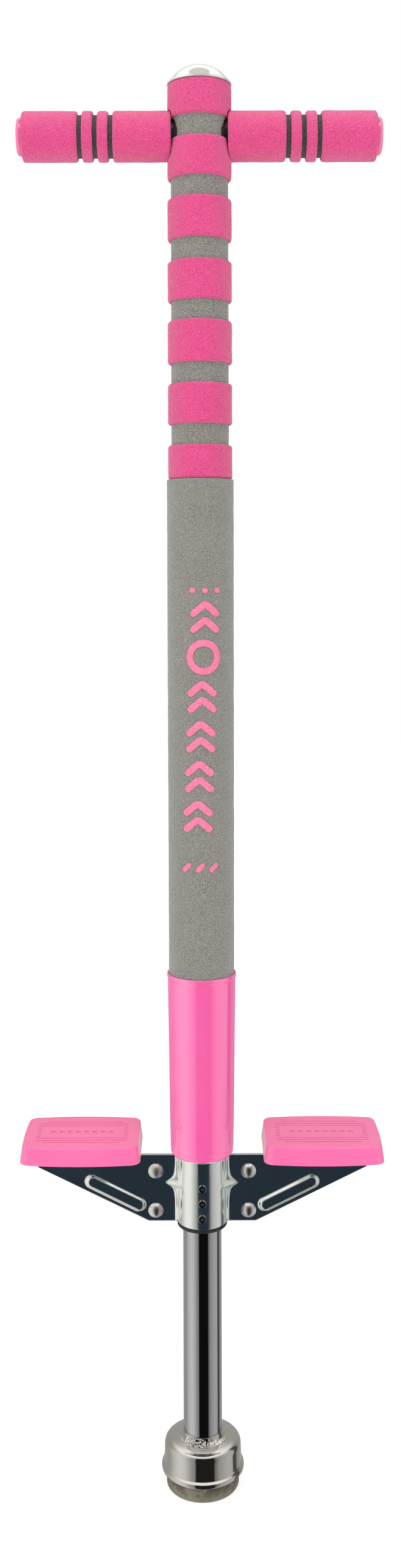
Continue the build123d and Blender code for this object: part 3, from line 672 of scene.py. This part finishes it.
def build_foot_weld():
    """Weld ring: a smooth hollow fillet, with one rough patch where the bead was ended."""
    root, throat, base, sunk = 12.68, 3.9, 32.0, 31.8
    still_r, still_z, lowest = 12.75 * MM, 31.9 * MM, 31.85 * MM
    rim, fade = 16.6 * MM, 0.8 * MM
    rough_bearing, rough_width = -20, 24
    fine_scale, lump_scale, slow_scale = 800, 380, 160
    hollow = [(root + throat * (1 - sin(radians(a))), base + throat * (1 - cos(radians(a))))
              for a in range(0, 91, 6)]
    outline = [Vector((root * MM, sunk * MM)), Vector(((root + throat) * MM, sunk * MM))]
    outline += [Vector((r * MM, z * MM)) for r, z in hollow]
    bead = turned("weld_ring", divided(outline, 0.35 * MM), steps=360)
    for vertex in bead.data.vertices:
        out = Vector((vertex.co.x, vertex.co.y, 0))
        if out.length < still_r or vertex.co.z < still_z:
            continue
        bearing = degrees(atan2(vertex.co.x, -vertex.co.y))
        rough = exp(-((bearing - rough_bearing) / rough_width) ** 2) + 0.10
        inside = smooth_step((rim - out.length) / fade)
        lumps = noise.noise(vertex.co * fine_scale) + 0.8 * noise.noise(vertex.co * lump_scale) + 0.35
        soft = 0.5 * noise.noise(vertex.co * slow_scale)
        push = (lumps * rough * 1.5 + soft * 0.5) * inside * MM
        vertex.co += out.normalized() * push * 0.6
        vertex.co.z = max(vertex.co.z + push * 0.7, lowest)
    bead.data.update()
    finish_piece(bead, WELD_CHROME, "plunger", "chrome_plate", "foot_weld")


def build_spring():
    """Round wire coil with closed ends. The mesh keeps one length; it is not squeezed when the plunger
    rises.
    """
    base, top = low("main_spring")[2], high("main_spring")[2]
    wire, middle, travel = 1.8 * MM, 10.2 * MM, 100 * MM
    turns, around, ring, dead = 28, 40, 12, 1.2
    closed_pitch = 2.02 * wire
    free_rise = top - base - 2 * wire - 2 * dead * closed_pitch
    steps = turns * around
    vertices, faces = [], []
    for step in range(steps + 1):
        turn = step / around
        live = min(max(turn - dead, 0), turns - 2 * dead) / (turns - 2 * dead)
        ends = min(turn, dead) + max(turn - (turns - dead), 0)
        angle = 2 * pi * turn
        out = Vector((cos(angle), sin(angle), 0))
        heart = out * middle + Vector((0, 0, base + wire + ends * closed_pitch + live * free_rise))
        for corner in range(ring):
            bend = 2 * pi * corner / ring
            vertices.append(heart + out * wire * cos(bend) + Vector((0, 0, wire * sin(bend))))
    for step in range(steps):
        for corner in range(ring):
            after = (corner + 1) % ring
            faces.append((step * ring + corner, step * ring + after,
                          (step + 1) * ring + after, (step + 1) * ring + corner))
    faces.append(tuple(range(ring)))
    faces.append(tuple(steps * ring + corner for corner in range(ring)))
    coil = tidy(add_mesh("coil_spring", vertices, faces))
    finish_piece(coil, SPRING_STEEL, "frame", "spring_steel", "main_spring")
    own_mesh(coil)


build_guard()
build_cup()
build_foot_weld()
build_spring()


# ---------------------------------------------------------------- pressed bracket halves
SHEET = 1.2 * MM
BARREL_R = tube_r + SHEET
BARREL_TOP = 217.0 * MM
WING_CORNER = 35.5 * MM
WING_TIP_BOTTOM = 209.0 * MM
SHELF_START = 44.0 * MM
RIB_ENDS = ((41.7 * MM, 184.2 * MM), (72.4 * MM, 199.3 * MM))
RIB_R = 5.2 * MM
RIB_HEIGHT = 1.9 * MM
RIB_SLOPE = 2.9 * MM
SPUR_Z = 198.8 * MM
SPUR_REACH = 23.8 * MM
SPUR_SPREAD = 2.9 * MM
SPUR_SHARPNESS = 1.2
FLANK_START = 11.0 * MM
FLANK_ROOT = 17.6 * MM
FLANK_SAG = 1.35
SWELL = 0.35 * MM
SWELL_LENGTH = 9 * MM
COLUMN_STEP = 0.8 * MM
EDGE_STEP = 0.35 * MM
ROW_STEP = 0.8 * MM
SPUR_STEP = 0.3 * MM


def dome_height(x):
    """Outer face of the barrel."""
    return sqrt(max(BARREL_R ** 2 - x * x, 0.0)) if abs(x) < BARREL_R else 0.0


def rib_height(x, z):
    """A stadium-shaped emboss: a flat floor, a rounded rim and a soft edge to the wing."""
    (x0, z0), (x1, z1) = RIB_ENDS
    along = Vector((x1 - x0, z1 - z0))
    spot = Vector((abs(x) - x0, z - z0))
    share = min(max(spot.dot(along) / along.length_squared, 0.0), 1.0)
    gap = (spot - along * share).length
    return RIB_HEIGHT * smooth_step((RIB_R - gap) / RIB_SLOPE)


def flank_height(x, z):
    """The sheet's run-out from barrel to wing. Halfway up it is drawn out into a pointed spur."""
    rise = (z - SPUR_Z) / SPUR_SPREAD
    root = FLANK_ROOT + (SPUR_REACH - FLANK_ROOT) / (1 + rise * rise) ** SPUR_SHARPNESS
    share = (abs(x) - FLANK_START) / (root - FLANK_START)
    if share <= 0 or share >= 1:
        return 0.0
    return SHEET + (dome_height(FLANK_START) - SHEET) * (1 - share) ** FLANK_SAG


def sheet_front(x, z):
    """How far the pressed sheet's outer face stands out from the joint plane."""
    swell = SWELL * smooth_step((z - BARREL_TOP + SWELL_LENGTH) / SWELL_LENGTH) * (abs(x) < BARREL_R)
    pressed = blend_max(dome_height(x) + swell, flank_height(x, z), 1.0 * MM)
    return blend_max(pressed, SHEET + rib_height(x, z), 0.8 * MM)


def sheet_back(x, z):
    """The sheet's inner face, which lies on the upright inside the barrel."""
    bore = sqrt(max(tube_r ** 2 - x * x, 0.0))
    pressed = max(sheet_front(x, z) - SHEET, 0.0)
    return max(bore, pressed if abs(x) > tube_r else min(pressed, bore + 0.3 * MM))


def outline_bottom(x):
    """Lower edge of the wing: level near the barrel, then rising to the tip."""
    if abs(x) <= WING_CORNER:
        return barrel_bottom
    share = (abs(x) - WING_CORNER) / (wing_end - WING_CORNER)
    return barrel_bottom + share * (WING_TIP_BOTTOM - barrel_bottom)


def sheet_columns():
    """X of each column of the mesh, closer together on and beside the barrel."""
    right = [BARREL_R * sin(radians(angle)) for angle in range(0, 61, 3)]
    right += [right[-1] + EDGE_STEP * step for step in range(1, 34)]
    while right[-1] + COLUMN_STEP < wing_end - 0.5 * MM:
        right.append(right[-1] + COLUMN_STEP)
    right.append(wing_end)
    return sorted([-x for x in right[1:]] + right)


def row_shares():
    """How far up the wing each row of the mesh is, closest together where the spur is drawn out."""
    heights = [barrel_bottom]
    while heights[-1] < BARREL_TOP:
        step = SPUR_STEP if abs(heights[-1] - SPUR_Z) < 4 * MM else ROW_STEP
        heights.append(min(heights[-1] + step, BARREL_TOP))
    return [(z - barrel_bottom) / (BARREL_TOP - barrel_bottom) for z in heights]


def shelf_depth_path():
    """Front and back points of the sheet above the wing, where it bends over into the shelf."""
    bend, steps = 1.0 * MM, 6
    outer = bend + SHEET
    path = []
    corner_z = shelf_top - outer
    for step in range(steps + 1):
        turn = radians(90 * step / steps)
        path.append(((SHEET + bend - bend * cos(turn), corner_z + bend * sin(turn)),
                     (SHEET + bend - outer * cos(turn), corner_z + outer * sin(turn))))
    for share in (0.25, 0.5, 0.75, 1.0):
        out = SHEET + bend + (shelf_depth - SHEET - bend) * share
        path.append(((out, shelf_top - SHEET), (out, shelf_top)))
    return path


def sheet_grids(columns, shares, facing):
    """The sheet's points, and their numbers up the front and the back of every column. A column
    that has no shelf above it has None there."""
    bevel, backing = 0.25 * MM, 0.02 * MM
    shelf = shelf_depth_path()
    vertices, fronts, backs = [], [], []

    def place(x, out, z):
        vertices.append((x, facing * out, z))
        return len(vertices) - 1

    for x in columns:
        base = outline_bottom(x)
        on_shelf = abs(x) >= SHELF_START
        front, back = [], []
        for row, share in enumerate(shares):
            z = base + (BARREL_TOP - base) * share
            at_rim = row == 0 or (share == 1 and not on_shelf)
            front.append(place(x, sheet_front(x, z) - (bevel if at_rim else 0.0), z))
            back.append(place(x, sheet_back(x, z) + backing, z))
        for (out_front, z_front), (out_back, z_back) in shelf:
            front.append(place(x, out_front, z_front) if on_shelf else None)
            back.append(place(x, out_back, z_back) if on_shelf else None)
        fronts.append(front)
        backs.append(back)
    return vertices, fronts, backs


def across_faces(fronts, backs):
    """Faces between neighbouring columns: both skins, and the lower and upper rims."""
    faces = []
    for column in range(len(fronts) - 1):
        for grid in (fronts, backs):
            for row in range(len(fronts[0]) - 1):
                corners = (grid[column][row], grid[column + 1][row],
                           grid[column + 1][row + 1], grid[column][row + 1])
                if None not in corners:
                    faces.append(corners)
        last = min(max(i for i, spot in enumerate(fronts[side]) if spot is not None)
                   for side in (column, column + 1))
        for row in (0, last):
            faces.append((fronts[column][row], fronts[column + 1][row],
                          backs[column + 1][row], backs[column][row]))
    return faces


def upright_faces(fronts, backs, wing_rows):
    """Faces that close the wing's two ends and the ends of each shelf."""
    faces = []
    for column, front in enumerate(fronts):
        full = [row for row in range(len(front) - 1) if front[row + 1] is not None]
        if column not in (0, len(fronts) - 1):
            beside_gap = None in (fronts[column - 1][-1], fronts[column + 1][-1])
            shelf_end = front[-1] is not None and beside_gap
            full = [row for row in full if row >= wing_rows] if shelf_end else []
        for row in full:
            faces.append((front[row], front[row + 1], backs[column][row + 1], backs[column][row]))
    return faces


def build_bracket(name, node, facing):
    """One half of the bracket as a pressed sheet: a closed mesh of an outer and an inner face."""
    shares = row_shares()
    vertices, fronts, backs = sheet_grids(sheet_columns(), shares, facing)
    faces = across_faces(fronts, backs) + upright_faces(fronts, backs, len(shares) - 1)
    half = tidy(add_mesh(name, vertices, faces))
    finish_piece(half, ZINC, "frame", "zinc_plate", node)


build_bracket("bracket_front_sheet", "bracket_front", -1)
build_bracket("bracket_rear_sheet", "bracket_rear", 1)


# ---------------------------------------------------------------- camera, lights and floor
# A level camera in front of the stick. The lens is shifted down to take in the foot.
EYE_DISTANCE = 0.9833
EYE_HEIGHT = 0.6076
LENS = 34.1
LENS_SHIFT = -0.1405
CAMERA_ROLL = radians(0.155)

camera = bpy.data.cameras.new("camera")
camera.sensor_width = 36
camera.lens = LENS
camera.shift_y = LENS_SHIFT
camera.clip_start = 0.01
camera_object = bpy.data.objects.new("camera", camera)
camera_object.location = (0, -EYE_DISTANCE, EYE_HEIGHT)
camera_object.rotation_euler = (radians(90), CAMERA_ROLL, 0)
bpy.context.scene.collection.objects.link(camera_object)
bpy.context.scene.camera = camera_object
bpy.context.scene.view_settings.view_transform = "Standard"


def studio_world():
    """A pale light tent. Round the horizon it has the dark gap between two softboxes that
    polished metal shows, and it is plain white where it is seen directly."""
    world = bpy.data.worlds.new("tent")
    bpy.context.scene.world = world
    world.use_nodes = True
    nodes, links = world.node_tree.nodes, world.node_tree.links
    nodes.clear()
    place = nodes.new("ShaderNodeTexCoord").outputs["Generated"]
    split = nodes.new("ShaderNodeSeparateXYZ")
    links.new(place, split.inputs["Vector"])
    away = nodes.new("ShaderNodeMath")
    away.operation = "MULTIPLY"
    away.inputs[1].default_value = -1
    links.new(split.outputs["Y"], away.inputs[0])
    bearing = nodes.new("ShaderNodeMath")
    bearing.operation = "ARCTAN2"
    links.new(split.outputs["X"], bearing.inputs[0])
    links.new(away.outputs[0], bearing.inputs[1])
    share = nodes.new("ShaderNodeMapRange")
    share.inputs["From Min"].default_value = -pi
    share.inputs["From Max"].default_value = pi
    links.new(bearing.outputs[0], share.inputs["Value"])
    ramp = nodes.new("ShaderNodeValToRGB")
    # Bearing in degrees, clockwise from the front, and how bright the tent is there
    stops = ((-180, 0.45), (-150, 0.42), (-128, 0.40), (-112, 0.45), (-95, 0.68), (-74, 0.85),
             (-55, 0.78), (-36, 0.45), (-22.5, 0.28), (-20.5, 0.007), (33, 0.007), (35.5, 0.16),
             (50, 0.42), (80, 0.58), (98, 0.55), (103, 0.08), (117, 0.08), (121, 0.30),
             (130, 0.38), (150, 0.42), (180, 0.45))
    elements = ramp.color_ramp.elements
    while len(elements) < len(stops):
        elements.new(0.5)
    for element, (angle, level) in zip(elements, stops):
        element.position = (angle + 180) / 360
        element.color = (level, level, level, 1)
    links.new(share.outputs["Result"], ramp.inputs["Fac"])
    # The tent brightens overhead, and is open at the very top
    light = ramp.outputs["Color"]
    for start, end, level in ((0.55, 0.85, 1.15), (0.928, 0.942, 0.08)):
        height = nodes.new("ShaderNodeMapRange")
        height.interpolation_type = "SMOOTHSTEP"
        height.inputs["From Min"].default_value = start
        height.inputs["From Max"].default_value = end
        links.new(split.outputs["Z"], height.inputs["Value"])
        layer = nodes.new("ShaderNodeMix")
        layer.data_type = "RGBA"
        links.new(height.outputs["Result"], layer.inputs[0])
        links.new(light, layer.inputs[6])
        layer.inputs[7].default_value = (level, level, level, 1)
        light = layer.outputs[2]
    tent = nodes.new("ShaderNodeBackground")
    links.new(light, tent.inputs["Color"])
    backdrop = nodes.new("ShaderNodeBackground")
    backdrop.inputs["Color"].default_value = (1, 1, 1, 1)
    ray = nodes.new("ShaderNodeLightPath")
    mix = nodes.new("ShaderNodeMixShader")
    links.new(ray.outputs["Is Camera Ray"], mix.inputs[0])
    links.new(tent.outputs[0], mix.inputs[1])
    links.new(backdrop.outputs[0], mix.inputs[2])
    output = nodes.new("ShaderNodeOutputWorld")
    links.new(mix.outputs[0], output.inputs["Surface"])


def softbox(name, place, size, power):
    """A large diffuse lamp aimed at the middle of the stick."""
    lamp = bpy.data.lights.new(name, "AREA")
    lamp.shape = "RECTANGLE"
    lamp.size, lamp.size_y = size
    lamp.energy = power
    lamp_object = bpy.data.objects.new(name, lamp)
    lamp_object.location = place
    aim = Vector((0, 0, 0.5)) - Vector(place)
    lamp_object.rotation_euler = aim.to_track_quat("-Z", "Y").to_euler()
    lamp_object.visible_glossy = False
    bpy.context.scene.collection.objects.link(lamp_object)


studio_world()
softbox("left_softbox", (-2.0, -2.2, 1.3), (1.6, 2.2), 38)
softbox("right_softbox", (2.0, -2.2, 1.3), (1.6, 2.2), 34)
softbox("top_softbox", (0.0, -0.4, 3.0), (2.0, 2.0), 26)

floor = add_mesh("floor", [(-9, -9, 0), (9, -9, 0), (9, 9, 0), (-9, 9, 0)], [(0, 1, 2, 3)])
pale = Shader("pale_floor", (0.34, 0.34, 0.34), 0.9)
pale.set(Specular_IOR_Level=0.1, Emission_Color=(1, 1, 1, 1), Emission_Strength=0.77)
floor.data.materials.append(pale.done())
floor.visible_glossy = False
